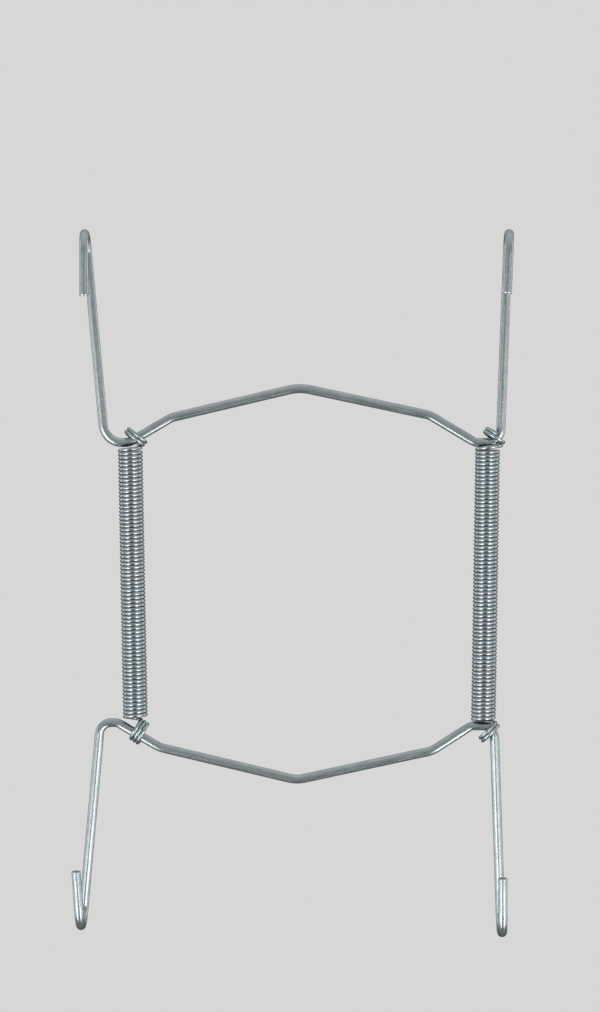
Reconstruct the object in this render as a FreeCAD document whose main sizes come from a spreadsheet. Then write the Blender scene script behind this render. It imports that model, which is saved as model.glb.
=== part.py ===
import FreeCAD, Part
import math
import os

# Wire plate hanger, in millimetres.
#
# Four pieces: an upper and a lower bracket, each one length of round steel wire
# bent from claw to claw, and two close wound extension springs whose lifted end
# turns hook round the brackets.  +Z is up, the front (the plate's side) faces
# -Y, and the origin is the underside of the upper bow, where the nail bears.

Vec = FreeCAD.Vector
doc = FreeCAD.newDocument("wire_plate_hanger")

# ---------------------------------------------------------------- dimensions
# Each row: alias, value, what it is.  Positions of a bend are those of the
# corner where the two straight runs would meet.
ROWS = [
    ("wire_diameter", 1.4, "bracket wire"),
    ("claw_reach", 6.6, "leg to claw tip strand, centre to centre"),
    ("claw_bend", 3.0, "centre-line radius of the two bends of a claw"),
    ("bow_bend_upper", 8.0, "bend at the top of the upper bow, the nail's seat"),
    ("bow_bend_lower", 5.0, "bend at the bottom of the lower bow"),
    ("kink_bend", 4.0, "bend between the bow and the slope to the loop"),
    ("seat_bend", 1.7, "bend between that slope and the seat"),
    # upper bracket, left half
    ("ul_tip_x", -32.65, "claw tip"),
    ("ul_tip_z", 14.56, ""),
    ("ul_front_x", -32.67, "front corner of the claw"),
    ("ul_top_x", -32.67, "rear corner of the claw"),
    ("ul_top_z", 24.13, ""),
    ("ul_foot_x", -29.77, "foot of the leg"),
    ("ul_foot_z", -7.50, ""),
    ("ul_foot_bend", 2.9, ""),
    ("ul_seat_x", -26.07, "inner end of the seat"),
    ("ul_kink_x", -19.59, "kink of the bow"),
    ("ul_kink_z", -3.70, ""),
    # upper bracket, bow and right half
    ("u_bow_x", -0.08, "top of the bow"),
    ("u_bow_z", 0.8986, ""),
    ("ur_kink_x", 19.76, ""),
    ("ur_kink_z", -3.34, ""),
    ("ur_seat_x", 26.71, ""),
    ("ur_foot_x", 30.55, ""),
    ("ur_foot_z", -7.50, ""),
    ("ur_foot_bend", 2.0, ""),
    ("ur_top_x", 31.74, ""),
    ("ur_top_z", 24.13, ""),
    ("ur_front_x", 31.70, ""),
    ("ur_tip_x", 31.31, ""),
    ("ur_tip_z", 14.91, ""),
    # lower bracket, left half
    ("ll_tip_x", -33.84, "claw tip"),
    ("ll_tip_z", -72.33, ""),
    ("ll_front_x", -33.23, ""),
    ("ll_top_x", -33.16, ""),
    ("ll_top_z", -80.82, ""),
    ("ll_foot_x", -30.42, ""),
    ("ll_foot_z", -50.20, ""),
    ("ll_foot_bend", 1.8, ""),
    ("ll_seat_x", -27.80, ""),
    ("ll_kink_x", -21.34, ""),
    ("ll_kink_z", -53.98, ""),
    # lower bracket, bow and right half
    ("l_bow_x", -0.52, "bottom of the bow"),
    ("l_bow_z", -58.93, ""),
    ("lr_kink_x", 20.12, ""),
    ("lr_kink_z", -54.50, ""),
    ("lr_seat_x", 26.05, ""),
    ("lr_foot_x", 29.60, ""),
    ("lr_foot_z", -50.69, ""),
    ("lr_foot_bend", 1.7, ""),
    ("lr_top_x", 30.63, ""),
    ("lr_top_z", -81.89, ""),
    ("lr_front_x", 30.66, ""),
    ("lr_tip_x", 30.63, ""),
    ("lr_tip_z", -73.38, ""),
    # springs
    ("spring_wire", 0.56, "spring wire"),
    ("coil_radius", 1.62, "middle of the wire to the spring's axis"),
    ("coil_pitch", 0.579, "one turn of the closed body"),
    # each spring: top of the body, turns of the closed body, lean of its axis,
    # and for each end the lift and the extra radius of the last half turn, the
    # angle of the loop to it and the turns of the loop
    ("left_axis_x", -25.87, ""),
    ("left_axis_z", -8.73, ""),
    ("left_turns", 70, "turns of the closed body"),
    ("left_lean", -1.1, "degrees"),
    ("left_top_lift", 2.5, "degrees"),
    ("left_top_flare", -0.02, ""),
    ("left_top_loop", 46.2, "degrees"),
    ("left_top_loop_turns", 2.0, ""),
    ("left_end_lift", 6.9, "degrees"),
    ("left_end_flare", -0.34, ""),
    ("left_end_loop", 62.5, "degrees"),
    ("left_end_loop_turns", 2.75, ""),
    ("right_axis_x", 28.60, ""),
    ("right_axis_z", -8.56, ""),
    ("right_turns", 71, "turns of the closed body"),
    ("right_lean", 0.9, "degrees"),
    ("right_top_lift", 4.8, "degrees"),
    ("right_top_flare", 0.25, ""),
    ("right_top_loop", 38.7, "degrees"),
    ("right_top_loop_turns", 1.75, ""),
    ("right_end_lift", 3.5, "degrees"),
    ("right_end_flare", 0.14, ""),
    ("right_end_loop", 43.9, "degrees"),
    ("right_end_loop_turns", 1.75, ""),
]

sheet = doc.addObject("Spreadsheet::Sheet", "dims")
sheet.Label = "dims"
for i, (alias, value, note) in enumerate(ROWS, start=1):
    sheet.set("A%d" % i, note or alias.replace("_", " "))
    sheet.set("B%d" % i, "%g" % value)
    sheet.setAlias("B%d" % i, alias)
doc.recompute()


def dim(alias):
    return float(sheet.get(alias))


# ------------------------------------------------------------- wire brackets
def bent_path(points, radii):
    """Straight runs joined by tangent arcs; one radius for each inner point."""
    edges = []
    start = points[0]
    for i in range(1, len(points) - 1):
        here, r = points[i], radii[i - 1]
        back = (points[i - 1] - here).normalize()
        ahead = (points[i + 1] - here).normalize()
        turn = math.pi - back.getAngle(ahead)
        reach = r * math.tan(turn / 2.0)
        p1 = here + back * reach
        p2 = here + ahead * reach
        mid_way = (back + ahead).normalize()
        centre = here + mid_way * math.hypot(r, reach)
        mid = centre - mid_way * r
        if (p1 - start).Length < 1e-4:
            raise ValueError("no straight run left before bend %d" % i)
        edges.append(Part.LineSegment(start, p1).toShape())
        edges.append(Part.Arc(p1, mid, p2).toShape())
        start = p2
    edges.append(Part.LineSegment(start, points[-1]).toShape())
    return Part.Wire(edges)


def half(prefix, z_seat):
    """Corners of one half bracket, from the claw's tip to the bow's kink."""
    y = -dim("claw_reach")
    return [
        Vec(dim(prefix + "_tip_x"), y, dim(prefix + "_tip_z")),
        Vec(dim(prefix + "_front_x"), y, dim(prefix + "_top_z")),
        Vec(dim(prefix + "_top_x"), 0, dim(prefix + "_top_z")),
        Vec(dim(prefix + "_foot_x"), 0, z_seat),
        Vec(dim(prefix + "_seat_x"), 0, z_seat),
        Vec(dim(prefix + "_kink_x"), 0, dim(prefix + "_kink_z")),
    ]


def make_sweep(label, path, diameter_alias, start, direction, frenet):
    """A round wire along a path: a section circle bound to the sheet, swept."""
    section = doc.addObject("Part::Circle", label + "_section")
    section.setExpression("Radius", "dims.%s / 2" % diameter_alias)
    section.Placement = FreeCAD.Placement(
        start, FreeCAD.Rotation(Vec(0, 0, 1), direction)
    )
    spine = doc.addObject("Part::Feature", label + "_path")
    spine.Shape = path
    sweep = doc.addObject("Part::Sweep", label)
    sweep.Label = label
    sweep.Sections = [section]
    sweep.Spine = (spine, ["Edge%d" % (k + 1) for k in range(len(path.Edges))])
    sweep.Solid = True
    sweep.Frenet = frenet
    return sweep


def make_bracket(label, left, right, bow_x, bow_z, bow_bend):
    lh = half(left, dim(left + "_foot_z"))
    rh = half(right, dim(right + "_foot_z"))
    points = lh + [Vec(dim(bow_x), 0, dim(bow_z))] + rh[::-1]
    side = lambda p: [dim("claw_bend"), dim("claw_bend"), dim(p + "_foot_bend"),
                      dim("seat_bend"), dim("kink_bend")]
    radii = side(left) + [dim(bow_bend)] + side(right)[::-1]
    path = bent_path(points, radii)
    return make_sweep(label, path, "wire_diameter", points[0], points[1] - points[0], False)


upper = make_bracket("upper_wire_bracket", "ul", "ur", "u_bow_x", "u_bow_z", "bow_bend_upper")
lower = make_bracket("lower_wire_bracket", "ll", "lr", "l_bow_x", "l_bow_z", "bow_bend_lower")


# -------------------------------------------------------------------- springs
# A spring's wire is a chain of helical runs of one slope: the closed body, a
# last half turn at each end that lifts off the body, and the turns of the loop.
# Each run starts where the one before ends, in the same direction, and is
# turned about that direction by its own angle.
def columns(a, b, c):
    return FreeCAD.Matrix(a.x, b.x, c.x, 0, a.y, b.y, c.y, 0, a.z, b.z, c.z, 0, 0, 0, 0, 1)


def run_frame(turns, slope):
    """Direction, inward normal and binormal at the end of a helix of +Z axis."""
    f = 2 * math.pi * turns
    t = Vec(-math.sin(f) * math.cos(slope), math.cos(f) * math.cos(slope), math.sin(slope))
    n = Vec(-math.cos(f), -math.sin(f), 0)
    return t, n, t.cross(n)


def helix_run(radius, turns, slope, placement):
    pitch = 2 * math.pi * radius * math.tan(slope)
    run = Part.makeLongHelix(pitch, pitch * turns, radius, 0)
    run.Placement = placement
    return run.Edges


def next_placement(placement, radius, turns, slope, new_radius, tilt):
    """Placement of a helix that carries on from the end of another one."""
    pitch = 2 * math.pi * radius * math.tan(slope)
    f = 2 * math.pi * turns
    end = placement.multVec(Vec(radius * math.cos(f), radius * math.sin(f), pitch * turns))
    t, n, b = [placement.Rotation.multVec(v) for v in run_frame(turns, slope)]
    c, s = math.cos(math.radians(tilt)), math.sin(math.radians(tilt))
    goal = columns(t, n * c + b * s, b * c - n * s)
    own = columns(*run_frame(0, slope))
    turn = FreeCAD.Placement(goal * own.inverse()).Rotation
    return FreeCAD.Placement(end - turn.multVec(Vec(new_radius, 0, 0)), turn)


def spring_end(body_placement, side, which):
    """Edges of the lifted half turn and the loop that follow the body's end."""
    radius, pitch = dim("coil_radius"), dim("coil_pitch")
    slope = math.atan(pitch / (2 * math.pi * radius))
    wide = radius + dim("%s_%s_flare" % (side, which))
    lifted = next_placement(body_placement, radius, dim(side + "_turns"), slope, wide,
                            dim("%s_%s_lift" % (side, which)))
    loop = next_placement(lifted, wide, 0.5, slope, radius, dim("%s_%s_loop" % (side, which)))
    return (helix_run(wide, 0.5, slope, lifted)
            + helix_run(radius, dim("%s_%s_loop_turns" % (side, which)), slope, loop))


def make_spring(label, side):
    radius, pitch, turns = dim("coil_radius"), dim("coil_pitch"), dim(side + "_turns")
    slope = math.atan(pitch / (2 * math.pi * radius))
    length = pitch * turns
    half_turn = FreeCAD.Rotation(Vec(0, 0, 1), 180)
    body = FreeCAD.Placement(Vec(0, 0, -length), half_turn)
    edges = helix_run(radius, turns, slope, body) + spring_end(body, side, "top")
    # the lower end is the same construction, turned over about the X axis
    over = FreeCAD.Placement(Vec(0, 0, 0), FreeCAD.Rotation(Vec(1, 0, 0), 180))
    for edge in spring_end(FreeCAD.Placement(Vec(0, 0, 0), half_turn), side, "end"):
        edge.Placement = over.multiply(edge.Placement)
        edges.append(edge)
    lean = FreeCAD.Placement(
        Vec(dim(side + "_axis_x"), 0, dim(side + "_axis_z")),
        FreeCAD.Rotation(Vec(0, 1, 0), dim(side + "_lean")),
    )
    for edge in edges:
        edge.Placement = lean.multiply(edge.Placement)
    path = Part.Wire(Part.__sortEdges__(edges))
    first = path.OrderedEdges[0]
    start = path.OrderedVertexes[0].Point
    low, high = first.ParameterRange
    ends = {True: low, False: high}
    at = ends[(first.valueAt(low) - start).Length < (first.valueAt(high) - start).Length]
    return make_sweep(label, path, "spring_wire", start, first.tangentAt(at), True)


left_spring = make_spring("left_spring", "left")
right_spring = make_spring("right_spring", "right")

doc.recompute()

# ------------------------------------------------------------ checks and files
SUB_PARTS = [upper, lower, left_spring, right_spring]
for obj in doc.Objects:
    if "Invalid" in obj.State or "Error" in obj.State:
        raise RuntimeError("%s did not build: %s" % (obj.Label, obj.State))
for obj in SUB_PARTS:
    shape = obj.Shape
    if shape.isNull() or not shape.isValid() or len(shape.Solids) != 1:
        raise RuntimeError("%s is not one valid solid" % obj.Label)
    spine = obj.Spine[0].Shape
    section = math.pi * obj.Sections[0].Radius.Value ** 2
    print("%-20s wire %.2f mm long, volume %.3f mm3, section times length %.3f"
          % (obj.Label, spine.Length, shape.Volume, section * spine.Length))
    if abs(shape.Volume / (section * spine.Length) - 1) > 0.005:
        raise RuntimeError("%s has the wrong volume" % obj.Label)

os.makedirs("parts", exist_ok=True)
for obj in SUB_PARTS:
    obj.Shape.exportStep("parts/%s.step" % obj.Label)
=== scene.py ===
import math

import bpy
import numpy as np
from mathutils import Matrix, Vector


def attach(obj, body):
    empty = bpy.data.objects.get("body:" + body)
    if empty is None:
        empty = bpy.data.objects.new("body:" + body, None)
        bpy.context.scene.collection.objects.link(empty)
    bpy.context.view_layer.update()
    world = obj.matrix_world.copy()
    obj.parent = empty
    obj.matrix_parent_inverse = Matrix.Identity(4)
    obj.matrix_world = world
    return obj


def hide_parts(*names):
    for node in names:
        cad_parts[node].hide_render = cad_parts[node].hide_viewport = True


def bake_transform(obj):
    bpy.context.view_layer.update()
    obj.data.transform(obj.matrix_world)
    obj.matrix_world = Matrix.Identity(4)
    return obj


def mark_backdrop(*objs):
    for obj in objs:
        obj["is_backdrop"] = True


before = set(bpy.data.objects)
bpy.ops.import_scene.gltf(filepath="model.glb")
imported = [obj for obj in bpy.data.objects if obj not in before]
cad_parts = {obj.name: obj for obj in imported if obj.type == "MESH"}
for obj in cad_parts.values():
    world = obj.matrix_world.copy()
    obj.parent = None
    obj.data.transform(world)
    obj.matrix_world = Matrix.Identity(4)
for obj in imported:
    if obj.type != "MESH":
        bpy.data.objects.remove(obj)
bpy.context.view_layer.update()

# ------------------------------------------------------------------ dimensions
# The same corners, bend radii and spring sizes as the CAD model, in millimetres.
WIRE = 1.4
REACH = 6.6
CLAW_BEND, KINK_BEND, SEAT_BEND = 3.0, 4.0, 1.7
UPPER = dict(
    left=dict(tip=(-32.65, 14.56), front=-32.67, top=(-32.67, 24.13), foot=(-29.77, -7.50),
              foot_bend=2.9, seat=-26.07, kink=(-19.59, -3.70)),
    right=dict(tip=(31.31, 14.91), front=31.70, top=(31.74, 24.13), foot=(30.55, -7.50),
               foot_bend=2.0, seat=26.71, kink=(19.76, -3.34)),
    bow=(-0.08, 0.8986), bow_bend=8.0,
)
LOWER = dict(
    left=dict(tip=(-33.84, -72.33), front=-33.23, top=(-33.16, -80.82), foot=(-30.42, -50.20),
              foot_bend=1.8, seat=-27.80, kink=(-21.34, -53.98)),
    right=dict(tip=(30.63, -73.38), front=30.66, top=(30.63, -81.89), foot=(29.60, -50.69),
               foot_bend=1.7, seat=26.05, kink=(20.12, -54.50)),
    bow=(-0.52, -58.93), bow_bend=5.0,
)
SPRING_WIRE, COIL_RADIUS, COIL_PITCH = 0.56, 1.62, 0.579
# axis at the body's top, turns, lean, then lift, flare, loop angle and loop turns of the two ends
LEFT = dict(axis=(-25.87, -8.73), turns=70, lean=-1.1, top=(2.5, -0.02, 46.2, 2.0), end=(6.9, -0.34, 62.5, 2.75))
RIGHT = dict(axis=(28.60, -8.56), turns=71, lean=0.9, top=(4.8, 0.25, 38.7, 1.75), end=(3.5, 0.14, 43.9, 1.75))


def unit(v):
    return v / np.linalg.norm(v, axis=-1, keepdims=True)


# ---------------------------------------------------------------- centre-lines
def bent_line(corners, radii, step=0.3):
    """Points along straight runs and bends; for each the bend's curvature and inward direction."""
    corners = [np.array(c, float) for c in corners]
    points, curve, inward = [], [], []
    start = corners[0]

    def straight(a, b):
        n = max(2, int(np.linalg.norm(b - a) / step))
        for t in np.linspace(0, 1, n, endpoint=False):
            points.append(a + (b - a) * t)
            curve.append(0.0)
            inward.append(np.zeros(3))

    for i in range(1, len(corners) - 1):
        here, r = corners[i], radii[i - 1]
        back, ahead = unit(corners[i - 1] - here), unit(corners[i + 1] - here)
        turn = math.pi - math.acos(max(-1.0, min(1.0, float(back @ ahead))))
        reach = r * math.tan(turn / 2)
        p1, p2 = here + back * reach, here + ahead * reach
        mid = unit(back + ahead)
        centre = here + mid * math.hypot(r, reach)
        straight(start, p1)
        e1, e2 = unit(p1 - centre), -back
        n = max(6, int(turn / math.radians(4)), int(turn * r / 0.2))
        for a in np.linspace(0, turn, n, endpoint=False):
            q = centre + r * (math.cos(a) * e1 + math.sin(a) * e2)
            points.append(q)
            curve.append(1.0 / r)
            inward.append(unit(centre - q))
        start = p2
    straight(start, corners[-1])
    points.append(corners[-1])
    curve.append(0.0)
    inward.append(np.zeros(3))
    return np.array(points), np.array(curve), np.array(inward)


def bracket_line(b):
    def half(h):
        (tx, tz), (ux, uz), (fx, fz), (kx, kz) = h["tip"], h["top"], h["foot"], h["kink"]
        return [(tx, -REACH, tz), (h["front"], -REACH, uz), (ux, 0, uz), (fx, 0, fz),
                (h["seat"], 0, fz), (kx, 0, kz)]

    bends = lambda h: [CLAW_BEND, CLAW_BEND, h["foot_bend"], SEAT_BEND, KINK_BEND]
    corners = half(b["left"]) + [(b["bow"][0], 0, b["bow"][1])] + half(b["right"])[::-1]
    radii = bends(b["left"]) + [b["bow_bend"]] + bends(b["right"])[::-1]
    return bent_line(corners, radii)


SLOPE = math.atan(COIL_PITCH / (2 * math.pi * COIL_RADIUS))
PER_TURN = 36


def helix(radius, turns):
    f = np.linspace(0, 2 * math.pi * turns, int(round(turns * PER_TURN)) + 1)
    return np.stack([radius * np.cos(f), radius * np.sin(f), radius * math.tan(SLOPE) * f], 1)


def run_frame(turns):
    f = 2 * math.pi * turns
    t = np.array([-math.sin(f) * math.cos(SLOPE), math.cos(f) * math.cos(SLOPE), math.sin(SLOPE)])
    n = np.array([-math.cos(f), -math.sin(f), 0.0])
    return np.stack([t, n, np.cross(t, n)], 1)


def carry_on(rot, move, radius, turns, new_radius, tilt):
    """Pose of a helix that carries on from the end of another one."""
    f = 2 * math.pi * turns
    end = rot @ np.array([radius * math.cos(f), radius * math.sin(f), radius * math.tan(SLOPE) * f]) + move
    e = rot @ run_frame(turns)
    c, s = math.cos(math.radians(tilt)), math.sin(math.radians(tilt))
    goal = np.stack([e[:, 0], e[:, 1] * c + e[:, 2] * s, e[:, 2] * c - e[:, 1] * s], 1)
    new_rot = goal @ run_frame(0).T
    return new_rot, end - new_rot @ np.array([new_radius, 0, 0])


def spring_line(s):
    """Points from the lower loop's end to the upper loop's end, and how far down each one is, 0 to 1."""
    half_turn = np.diag([-1.0, -1.0, 1.0])
    turns = s["turns"]
    length = COIL_PITCH * turns

    def end(move, which):
        lift, flare, loop, loop_turns = s[which]
        wide = COIL_RADIUS + flare
        r1, m1 = carry_on(half_turn, move, COIL_RADIUS, turns, wide, lift)
        r2, m2 = carry_on(r1, m1, wide, 0.5, COIL_RADIUS, loop)
        return np.concatenate([(helix(wide, 0.5) @ r1.T + m1)[1:],
                               (helix(COIL_RADIUS, loop_turns) @ r2.T + m2)[1:]])

    top = end(np.array([0, 0, -length]), "top")
    bottom = (end(np.zeros(3), "end") @ np.diag([1.0, -1.0, -1.0]))[::-1]
    body = helix(COIL_RADIUS, turns) @ half_turn.T + np.array([0, 0, -length])
    points = np.concatenate([bottom, body, top])
    down = np.concatenate([np.ones(len(bottom)), np.linspace(1, 0, len(body)), np.zeros(len(top))])
    a = math.radians(s["lean"])
    lean = np.array([[math.cos(a), 0, math.sin(a)], [0, 1, 0], [-math.sin(a), 0, math.cos(a)]])
    return points @ lean.T + np.array([s["axis"][0], 0, s["axis"][1]]), down


# ----------------------------------------------------------------- wire meshes
def carried_frames(points):
    """Directions along a line, and a pair of side directions that turn with it as little as they can."""
    t = np.gradient(points, axis=0)
    t = unit(t)
    u = np.zeros_like(t)
    start = np.array([0.0, 1.0, 0.0]) if abs(t[0][1]) < 0.9 else np.array([1.0, 0.0, 0.0])
    u[0] = unit(start - t[0] * (start @ t[0]))
    for i in range(len(points) - 1):
        v1 = points[i + 1] - points[i]
        c1 = v1 @ v1
        ul = u[i] - (2 / c1) * (v1 @ u[i]) * v1
        tl = t[i] - (2 / c1) * (v1 @ t[i]) * v1
        v2 = t[i + 1] - tl
        c2 = v2 @ v2
        u[i + 1] = ul if c2 < 1e-16 else ul - (2 / c2) * (v2 @ ul) * v2
    u = unit(u - t * (u * t).sum(1, keepdims=True))
    return t, u, np.cross(t, u)


def smooth(values, s, width):
    """Running mean of values along the length s."""
    out = np.zeros_like(values)
    for i in range(len(s)):
        near = slice(np.searchsorted(s, s[i] - 3 * width), np.searchsorted(s, s[i] + 3 * width))
        w = np.exp(-0.5 * ((s[near] - s[i]) / width) ** 2)
        out[i] = (values[near].T @ w) / w.sum()
    return out


def wire_mesh(name, points, diameter, sides, cut, oval=None):
    """A round wire along points (mm) with sheared ends; cut is the lean of the two cut faces in degrees.

    The attribute wire_co holds each point's place on the wire, unrolled: cosine and
    sine of the angle round it, and the length along it in mm.  The UV map lays the
    wire out flat in rows, with the two cut faces above them.
    """
    r = diameter / 2
    s = np.r_[0, np.cumsum(np.linalg.norm(np.diff(points, axis=0), axis=1))]
    t, u, v = carried_frames(points)
    angles = np.linspace(0, 2 * math.pi, sides, endpoint=False)
    cosines, sines = np.cos(angles), np.sin(angles)
    # rings: (centre, direction along, radius, length)
    edge = 0.16 * r
    keep = np.where((s > 2.2 * edge) & (s < s[-1] - 2.2 * edge))[0]
    verts, coords, of_ring = [], [], []

    def ring(i, radius, along, lean):
        e = cosines[:, None] * u[i] + sines[:, None] * v[i]
        shape = e.copy()
        if oval is not None:
            flat, side = oval
            c = (e * side[i]).sum(1, keepdims=True)
            shape = e + flat[i] * (0.6 * (e - c * side[i]) - c * side[i])
        tip = along + np.tan(math.radians(lean)) * radius * cosines
        verts.append(points[i] + radius * shape + tip[:, None] * t[i])
        coords.append(np.stack([cosines * radius / r, sines * radius / r, np.full(sides, s[i]) + tip], 1))
        of_ring.append(i)

    last = len(points) - 1
    # the sheared face: rolled edge on the outside, a shallow step across the middle
    profile = [(0.25, 0.02), (0.55, 0.0), (0.80, -0.01), (0.93, -0.05), (0.985, -0.12)]
    for share, back in profile:
        ring(0, r * share, -back * r, cut[0])
    ring(0, r, 2.0 * edge, 0.0)
    for i in keep:
        ring(i, r, 0.0, 0.0)
    ring(last, r, -2.0 * edge, 0.0)
    for share, back in profile[::-1]:
        ring(last, r * share, back * r, cut[1])
    rings = len(verts)
    first_centre = points[0] - 0.02 * r * t[0]
    last_centre = points[last] + 0.02 * r * t[last]
    all_verts = np.concatenate(verts + [first_centre[None], last_centre[None]]) * 0.001
    all_coords = np.concatenate(coords + [np.array([[0, 0, 0.0]]), np.array([[0, 0, s[-1]]])])
    a = np.arange(rings - 1)[:, None] * sides
    j = np.arange(sides)[None, :]
    k = (j + 1) % sides
    quads = np.stack([a + j, a + k, a + sides + k, a + sides + j], -1).reshape(-1, 4)
    n = rings * sides
    jj = np.arange(sides)
    kk = (jj + 1) % sides
    fan_a = np.stack([np.full(sides, n), kk, jj], 1)
    fan_b = np.stack([np.full(sides, n + 1), (rings - 1) * sides + jj, (rings - 1) * sides + kk], 1)
    mesh = bpy.data.meshes.new(name)
    mesh.from_pydata(all_verts.tolist(), [], quads.tolist() + fan_a.tolist() + fan_b.tolist())
    mesh.polygons.foreach_set("use_smooth", np.ones(len(mesh.polygons), bool))
    spot = mesh.attributes.new("wire_co", "FLOAT_VECTOR", "POINT")
    spot.data.foreach_set("vector", all_coords.astype(np.float32).ravel())
    lay_out(mesh, all_coords[:n, 2].reshape(rings, sides), rings, sides, len(profile),
            2 * math.pi * r, [share for share, _ in profile])
    mesh.update()
    obj = bpy.data.objects.new(name, mesh)
    bpy.context.scene.collection.objects.link(obj)
    return obj, np.array(of_ring), sides


def lay_out(mesh, along, rings, sides, cap, girth, shares):
    """UV map: the wire's skin in rows of equal scale, the cut faces as two discs on top."""
    place = along.mean(1)
    place = place - place[0]
    length = place[-1] * 1.0001
    rows = max(1, int(round(math.sqrt(length / girth))))
    tall = 0.95 / rows
    row = np.minimum((place / length * rows).astype(int), rows - 1)
    uv = np.zeros((len(mesh.loops), 2), np.float32)
    at = 0
    for i in range(rings - 1):
        end = cap - 1 if i < cap - 1 else None
        tip = i >= rings - cap
        for j in range(sides):
            corners = ((i, j), (i, j + 1), (i + 1, j + 1), (i + 1, j))
            for a, b in corners:
                if end is not None or tip:
                    share = shares[a] if end is not None else shares[rings - 1 - a]
                    turn = 2 * math.pi * b / sides
                    x = 0.03 if end is not None else 0.09
                    uv[at] = (x + 0.019 * share * math.cos(turn), 0.977 + 0.019 * share * math.sin(turn))
                else:
                    u = (place[a] - row[i] * length / rows) / (length / rows)
                    uv[at] = (0.015 + 0.97 * u, (row[i] + 0.06 + 0.88 * b / sides) * tall)
                at += 1
    for x, first in ((0.03, True), (0.09, False)):
        for j in range(sides):
            pair = (j + 1, j) if first else (j, j + 1)
            uv[at] = (x, 0.977)
            at += 1
            for b in pair:
                turn = 2 * math.pi * b / sides
                uv[at] = (x + 0.019 * shares[0] * math.cos(turn), 0.977 + 0.019 * shares[0] * math.sin(turn))
                at += 1
    layer = mesh.uv_layers.new(name="OFBake")
    layer.data.foreach_set("uv", uv.ravel())


def make_bracket(name, b, cut):
    points, curve, inward = bracket_line(b)
    s = np.r_[0, np.cumsum(np.linalg.norm(np.diff(points, axis=0), axis=1))]
    # the wire is a little flattened where it was bent round a pin
    flat = smooth(curve, s, 0.35) * WIRE * 0.055
    side = smooth(inward, s, 0.35)
    side = side / np.maximum(np.linalg.norm(side, axis=1, keepdims=True), 1e-6)
    obj, _, _ = wire_mesh(name, points, WIRE, 28, cut, (np.clip(flat, 0, 0.05), side))
    return obj


def make_spring(name, s, cut):
    points, down = spring_line(s)
    obj, of_ring, sides = wire_mesh(name, points, SPRING_WIRE, 14, cut)
    weights = np.r_[np.repeat(down[of_ring], sides), down[0], down[-1]]
    return obj, weights, points


# ------------------------------------------------------------------- materials
def nodes_of(name):
    m = bpy.data.materials.new(name)
    m.use_nodes = True
    t = m.node_tree
    t.nodes.clear()
    out = t.nodes.new("ShaderNodeOutputMaterial")
    shader = t.nodes.new("ShaderNodeBsdfPrincipled")
    t.links.new(shader.outputs["BSDF"], out.inputs["Surface"])
    return m, t, shader


def zinc(name, dark, light, rough, streak):
    """Bright zinc plate on drawn steel wire: clouded, with fine draw lines along the wire."""
    m, t, shader = nodes_of(name)
    new, link = t.nodes.new, t.links.new
    shader.inputs["Metallic"].default_value = 1.0
    place = new("ShaderNodeAttribute")
    place.attribute_name = "wire_co"
    long = new("ShaderNodeMapping")
    long.inputs["Scale"].default_value = (streak, streak, 0.16)
    link(place.outputs["Vector"], long.inputs["Vector"])
    lines = new("ShaderNodeTexNoise")
    lines.inputs["Scale"].default_value = 1.0
    lines.inputs["Detail"].default_value = 5.0
    lines.inputs["Roughness"].default_value = 0.62
    link(long.outputs["Vector"], lines.inputs["Vector"])
    cloud_at = new("ShaderNodeMapping")
    cloud_at.inputs["Scale"].default_value = (1.1, 1.1, 0.55)
    link(place.outputs["Vector"], cloud_at.inputs["Vector"])
    clouds = new("ShaderNodeTexNoise")
    clouds.inputs["Scale"].default_value = 1.0
    clouds.inputs["Detail"].default_value = 6.0
    clouds.inputs["Roughness"].default_value = 0.6
    link(cloud_at.outputs["Vector"], clouds.inputs["Vector"])
    tint = new("ShaderNodeValToRGB")
    tint.color_ramp.elements[0].position = 0.30
    tint.color_ramp.elements[0].color = (*dark, 1)
    tint.color_ramp.elements[1].position = 0.70
    tint.color_ramp.elements[1].color = (*light, 1)
    link(clouds.outputs["Fac"], tint.inputs["Fac"])
    # the sheared ends are bare steel: there wire_co lies inside the unit circle
    section = new("ShaderNodeMapping")
    section.inputs["Scale"].default_value = (1, 1, 0)
    link(place.outputs["Vector"], section.inputs["Vector"])
    across = new("ShaderNodeVectorMath")
    across.operation = "LENGTH"
    link(section.outputs["Vector"], across.inputs[0])
    sheared = new("ShaderNodeMapRange")
    sheared.inputs["From Min"].default_value = 0.90
    sheared.inputs["From Max"].default_value = 0.97
    sheared.inputs["To Min"].default_value = 1.0
    sheared.inputs["To Max"].default_value = 0.0
    link(across.outputs["Value"], sheared.inputs["Value"])
    bare = new("ShaderNodeValToRGB")
    bare.color_ramp.elements[0].position = 0.35
    bare.color_ramp.elements[0].color = (0.25, 0.245, 0.24, 1)
    bare.color_ramp.elements[1].position = 0.65
    bare.color_ramp.elements[1].color = (0.40, 0.39, 0.375, 1)
    link(lines.outputs["Fac"], bare.inputs["Fac"])
    metal = new("ShaderNodeMix")
    metal.data_type = "RGBA"
    link(sheared.outputs["Result"], metal.inputs[0])
    link(tint.outputs["Color"], metal.inputs[6])
    link(bare.outputs["Color"], metal.inputs[7])
    link(metal.outputs[2], shader.inputs["Base Color"])
    dull = new("ShaderNodeMapRange")
    dull.inputs["From Min"].default_value = 0.3
    dull.inputs["From Max"].default_value = 0.7
    dull.inputs["To Min"].default_value = rough[0]
    dull.inputs["To Max"].default_value = rough[1]
    link(lines.outputs["Fac"], dull.inputs["Value"])
    link(dull.outputs["Result"], shader.inputs["Roughness"])
    bump = new("ShaderNodeBump")
    bump.inputs["Strength"].default_value = 0.22
    bump.inputs["Distance"].default_value = 0.00002
    link(lines.outputs["Fac"], bump.inputs["Height"])
    link(bump.outputs["Normal"], shader.inputs["Normal"])
    return m


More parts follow.
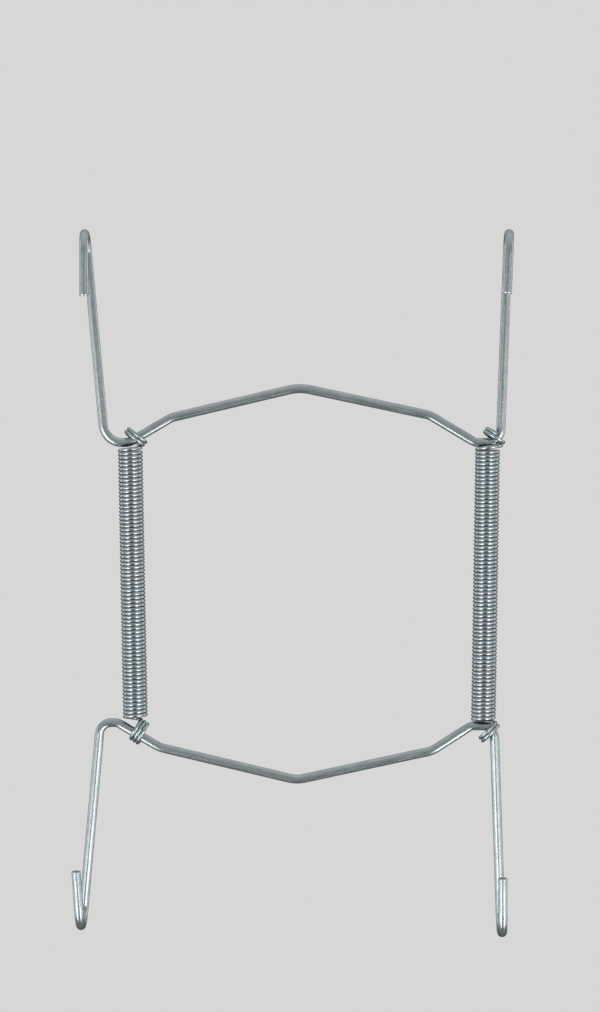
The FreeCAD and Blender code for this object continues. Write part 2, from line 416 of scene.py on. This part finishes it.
BRACKET_ZINC = zinc("bracket_zinc", (0.45, 0.52, 0.535), (0.60, 0.67, 0.685), (0.20, 0.36), 5.0)
SPRING_ZINC = zinc("spring_zinc", (0.43, 0.50, 0.52), (0.57, 0.64, 0.66), (0.18, 0.32), 3.0)

# ---------------------------------------------------------------------- pieces
upper = make_bracket("upper_bracket_wire", UPPER, (4.0, -5.0))
lower = make_bracket("lower_bracket_wire", LOWER, (-4.0, 6.0))
for obj, node in ((upper, "upper_wire_bracket"), (lower, "lower_wire_bracket")):
    obj.data.materials.append(BRACKET_ZINC)
    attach(obj, node)
    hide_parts(node)

for name, sizes, node, cut in (
    ("left_coil_spring", LEFT, "left_spring", (6.0, -8.0)),
    ("right_coil_spring", RIGHT, "right_spring", (-5.0, 7.0)),
):
    obj, weights, points = make_spring(name, sizes, cut)
    obj.data.materials.append(SPRING_ZINC)
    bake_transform(obj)
    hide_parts(node)


# ----------------------------------------------------------------------- stage
def floor_disc(radius, z):
    """Pale floor that fades into the backdrop towards its rim."""
    m, t, shader = nodes_of("floor_paint")
    new, link = t.nodes.new, t.links.new
    where = new("ShaderNodeTexCoord")
    grain = new("ShaderNodeTexNoise")
    grain.inputs["Scale"].default_value = 4.0
    link(where.outputs["Object"], grain.inputs["Vector"])
    tone = new("ShaderNodeValToRGB")
    tone.color_ramp.elements[0].color = (0.735, 0.735, 0.73, 1)
    tone.color_ramp.elements[1].color = (0.75, 0.75, 0.745, 1)
    link(grain.outputs["Fac"], tone.inputs["Fac"])
    link(tone.outputs["Color"], shader.inputs["Base Color"])
    shader.inputs["Roughness"].default_value = 0.9
    shader.inputs["Specular IOR Level"].default_value = 0.0
    small = new("ShaderNodeMapping")
    small.inputs["Scale"].default_value = (1 / radius, 1 / radius, 0)
    link(where.outputs["Object"], small.inputs["Vector"])
    far = new("ShaderNodeTexGradient")
    far.gradient_type = "SPHERICAL"
    link(small.outputs["Vector"], far.inputs["Vector"])
    fade = new("ShaderNodeValToRGB")
    fade.color_ramp.elements[0].position = 0.05
    fade.color_ramp.elements[1].position = 0.75
    fade.color_ramp.interpolation = "EASE"
    link(far.outputs["Fac"], fade.inputs["Fac"])
    clear = new("ShaderNodeBsdfTransparent")
    both = new("ShaderNodeMixShader")
    link(fade.outputs["Color"], both.inputs["Fac"])
    link(clear.outputs["BSDF"], both.inputs[1])
    link(shader.outputs["BSDF"], both.inputs[2])
    link(both.outputs["Shader"], t.nodes["Material Output"].inputs["Surface"])
    mesh = bpy.data.meshes.new("studio_floor")
    n = 96
    ring = [(radius * math.cos(2 * math.pi * i / n), radius * math.sin(2 * math.pi * i / n), 0) for i in range(n)]
    mesh.from_pydata(ring, [], [tuple(range(n))])
    mesh.materials.append(m)
    obj = bpy.data.objects.new("studio_floor", mesh)
    obj.location = (0, 0, z)
    # the metal mirrors the dark lower half of the room, not the floor
    obj.visible_glossy = False
    obj.visible_shadow = False
    bpy.context.scene.collection.objects.link(obj)
    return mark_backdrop(obj)


floor_disc(1.5, -0.30)


def area(name, place, look_at, size, radiance, glossy=True):
    light = bpy.data.lights.new(name, "AREA")
    light.shape = "RECTANGLE"
    light.size, light.size_y = size
    light.energy = radiance * math.pi * size[0] * size[1]
    obj = bpy.data.objects.new(name, light)
    obj.location = place
    obj.rotation_euler = (Vector(look_at) - Vector(place)).to_track_quat("-Z", "Y").to_euler()
    obj.visible_camera = False
    # the metal mirrors the strips and panels, and the overhead light alone lights the floor
    obj.visible_glossy = glossy
    obj.visible_diffuse = not glossy
    bpy.context.scene.collection.objects.link(obj)
    return obj


# Strips and panels left and right of the camera, mostly below the hanger's middle,
# small low pairs for the legs and seats, and a pair a little behind the hanger.
for side, name in ((-1, "left"), (1, "right")):
    area("strip_" + name, (0.70 * side, -0.91, -0.68), (0, 0, -0.68), (0.38, 1.06), 3.7)
    area("panel_" + name, (1.06 * side, -0.50, -0.60), (0, 0, -0.60), (0.62, 1.16), 1.2)
    area("low_front_" + name, (0.42 * side, -1.02, -0.15), (0, 0, -0.15), (0.40, 0.16), 1.9)
    area("leg_front_" + name, (0.15 * side, -1.04, -0.20), (0, 0, -0.20), (0.12, 0.12), 0.7)
    area("deep_" + name, (0.62 * side, -0.44, -1.00), (0, 0, 0), (0.34, 0.44), 2.8)
    area("back_" + name, (1.08 * side, 0.36, -0.05), (0, 0, -0.05), (0.50, 1.20), 0.8)
area("floor_light", (0.0, 0.0, 1.9), (0, 0, 0), (2.0, 2.0), 1.9, glossy=False)

world = bpy.data.worlds.new("studio")
bpy.context.scene.world = world
world.use_nodes = True
wt = world.node_tree
wt.nodes.clear()
w_new, w_link = wt.nodes.new, wt.links.new
w_out = w_new("ShaderNodeOutputWorld")
seen = w_new("ShaderNodeBackground")
seen.inputs["Color"].default_value = (0.68, 0.68, 0.675, 1)
where = w_new("ShaderNodeTexCoord")
split = w_new("ShaderNodeSeparateXYZ")
w_link(where.outputs["Generated"], split.inputs["Vector"])


def room(axis, stops):
    """Light of the room by one direction: (place from -1 to 1, brightness) stops."""
    span = w_new("ShaderNodeMapRange")
    span.inputs["From Min"].default_value = -1.0
    span.inputs["From Max"].default_value = 1.0
    w_link(split.outputs[axis], span.inputs["Value"])
    shade = w_new("ShaderNodeValToRGB")
    while len(shade.color_ramp.elements) < len(stops):
        shade.color_ramp.elements.new(0.5)
    for element, (at, level) in zip(shade.color_ramp.elements, stops):
        element.position = (at + 1) / 2
        element.color = (level, level, level, 1)
    w_link(span.outputs["Result"], shade.inputs["Fac"])
    light = w_new("ShaderNodeBackground")
    w_link(shade.outputs["Color"], light.inputs["Color"])
    return light


deep = room("Y", [(-1.0, 0.10), (-0.3, 0.14), (0.3, 0.22), (0.8, 0.10), (1.0, 0.04)])
high = room("Z", [(-1.0, 0.0), (-0.3, 0.01), (-0.02, 0.10), (0.25, 0.22), (1.0, 0.42)])
lit = w_new("ShaderNodeAddShader")
w_link(deep.outputs["Background"], lit.inputs[0])
w_link(high.outputs["Background"], lit.inputs[1])
path = w_new("ShaderNodeLightPath")
mix = w_new("ShaderNodeMixShader")
w_link(path.outputs["Is Camera Ray"], mix.inputs["Fac"])
w_link(lit.outputs["Shader"], mix.inputs[1])
w_link(seen.outputs["Background"], mix.inputs[2])
w_link(mix.outputs["Shader"], w_out.inputs["Surface"])

bpy.context.scene.view_settings.view_transform = "Standard"

# ---------------------------------------------------------------------- camera
# Square to the wire's plane, 750 mm away; the frame is 1012 px of 1/6.56 mm high.
PX_PER_MM, IMAGE_HEIGHT, DISTANCE = 6.56, 1012, 0.75
camera_data = bpy.data.cameras.new("camera")
camera_data.sensor_width = 36.0
camera_data.lens = 36.0 * DISTANCE / (IMAGE_HEIGHT / PX_PER_MM * 0.001)
camera_data.clip_start, camera_data.clip_end = 0.01, 50
camera = bpy.data.objects.new("camera", camera_data)
camera.location = (0.0, -DISTANCE, (393.3 - 506.0) / PX_PER_MM * 0.001)
camera.rotation_euler = (math.pi / 2, 0, 0)
bpy.context.scene.collection.objects.link(camera)
bpy.context.scene.camera = camera

bpy.context.view_layer.update()
